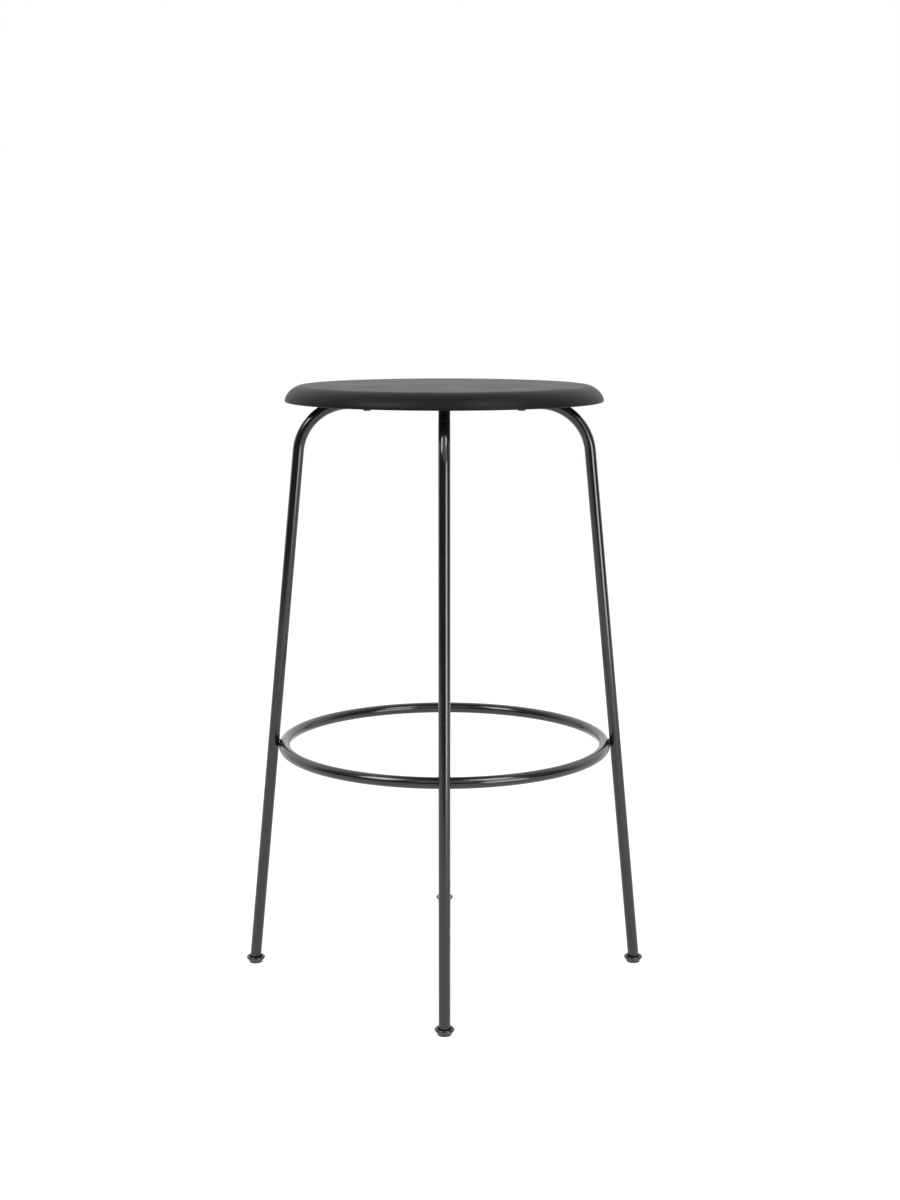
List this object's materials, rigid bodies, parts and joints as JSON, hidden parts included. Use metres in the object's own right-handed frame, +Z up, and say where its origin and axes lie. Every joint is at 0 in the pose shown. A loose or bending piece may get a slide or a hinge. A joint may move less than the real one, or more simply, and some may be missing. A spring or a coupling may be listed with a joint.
{
  "type": "bar stool with footrest",
  "caption": "Backless bar stool: round padded seat on slim bent tube legs, a ring footrest inside the legs and tilting glides.",
  "frame": {"origin": "on the floor, under the middle of the seat", "axes": "+Z up; -Y towards the front leg, +X towards the right leg"},
  "size_m": [0.5096, 0.5096, 0.74],
  "materials": {
    "leather": "smooth fine-grained black leather, satin",
    "foam": "moulded polyurethane foam, unpainted",
    "plywood": "raw birch plywood",
    "nonwoven": "black non-woven lining cloth",
    "powder_coat": "satin black powder coat on steel tube",
    "black_screw": "black-oxide steel screw",
    "zinc_steel": "zinc-plated steel",
    "nylon": "moulded black nylon",
    "gloss_plastic": "moulded black plastic with a polished rim",
    "sole_plastic": "dark grey low-friction plastic sole"
  },
  "bodies": {
    "stool": {"seat_cover": "leather", "seat_foam": "foam", "seat_board": "plywood", "dust_cover": "nonwoven", "foot_ring": "powder_coat", "leg_front": "powder_coat", "seat_screw_front": "black_screw", "threaded_insert_front": "zinc_steel", "glide_plug_front": "nylon", "leg_right": "powder_coat", "seat_screw_right": "black_screw", "threaded_insert_right": "zinc_steel", "glide_plug_right": "nylon", "leg_back": "powder_coat", "seat_screw_back": "black_screw", "threaded_insert_back": "zinc_steel", "glide_plug_back": "nylon", "leg_left": "powder_coat", "seat_screw_left": "black_screw", "threaded_insert_left": "zinc_steel", "glide_plug_left": "nylon"},
    "glide_front": {"glide_stud_front": "zinc_steel", "glide_foot_front": "gloss_plastic", "glide_pad_front": "sole_plastic"},
    "glide_right": {"glide_stud_right": "zinc_steel", "glide_foot_right": "gloss_plastic", "glide_pad_right": "sole_plastic"},
    "glide_back": {"glide_stud_back": "zinc_steel", "glide_foot_back": "gloss_plastic", "glide_pad_back": "sole_plastic"},
    "glide_left": {"glide_stud_left": "zinc_steel", "glide_foot_left": "gloss_plastic", "glide_pad_left": "sole_plastic"}
  },
  "joints": [
    {"name": "tilt_front", "type": "hinge", "parent": "stool", "child": "glide_front", "pos_m": [0, -0.24298, 0.0095], "axis": [1, 0, 0], "range_deg": [-8, 8]},
    {"name": "tilt_right", "type": "hinge", "parent": "stool", "child": "glide_right", "pos_m": [0.24298, 0, 0.0095], "axis": [0, 1, 0], "range_deg": [-8, 8]},
    {"name": "tilt_back", "type": "hinge", "parent": "stool", "child": "glide_back", "pos_m": [0, 0.24298, 0.0095], "axis": [1, 0, 0], "range_deg": [-8, 8]},
    {"name": "tilt_left", "type": "hinge", "parent": "stool", "child": "glide_left", "pos_m": [-0.24298, 0, 0.0095], "axis": [0, 1, 0], "range_deg": [-8, 8]}
  ]
}
